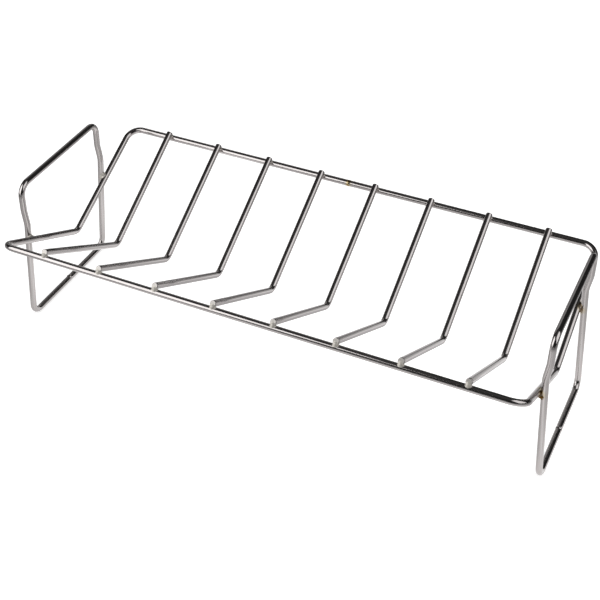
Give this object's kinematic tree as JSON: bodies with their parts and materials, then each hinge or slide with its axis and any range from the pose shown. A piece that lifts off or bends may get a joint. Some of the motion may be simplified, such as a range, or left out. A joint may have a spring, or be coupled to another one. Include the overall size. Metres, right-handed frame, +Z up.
{
  "type": "roasting rack",
  "caption": "V-shaped roasting rack of welded steel wire: a dipped perimeter wire carries V-bent cross wires between end loops that serve as both feet and handles",
  "frame": {"origin": "on the standing surface, mid-length, under the lowest line of the V", "axes": "+X along the rails, +Y to the rear, +Z up; the rack is mirror-symmetric about the plane X = 0"},
  "size_m": [0.4136, 0.1875, 0.1252],
  "materials": {
    "steel_wire": "bright polished round wire",
    "steel_weld": "as welded, straw to brown heat tint"
  },
  "bodies": {
    "root": {"frame_wire": "steel_wire", "cross_wire_1": "steel_wire", "cross_wire_2": "steel_wire", "cross_wire_3": "steel_wire", "cross_wire_4": "steel_wire", "cross_wire_5": "steel_wire", "cross_wire_6": "steel_wire", "cross_wire_7": "steel_wire", "cross_wire_8": "steel_wire", "left_leg": "steel_wire", "right_leg": "steel_wire", "front_rail_welds": "steel_weld", "rear_rail_welds": "steel_weld", "leg_welds": "steel_weld"}
  },
  "joints": []
}
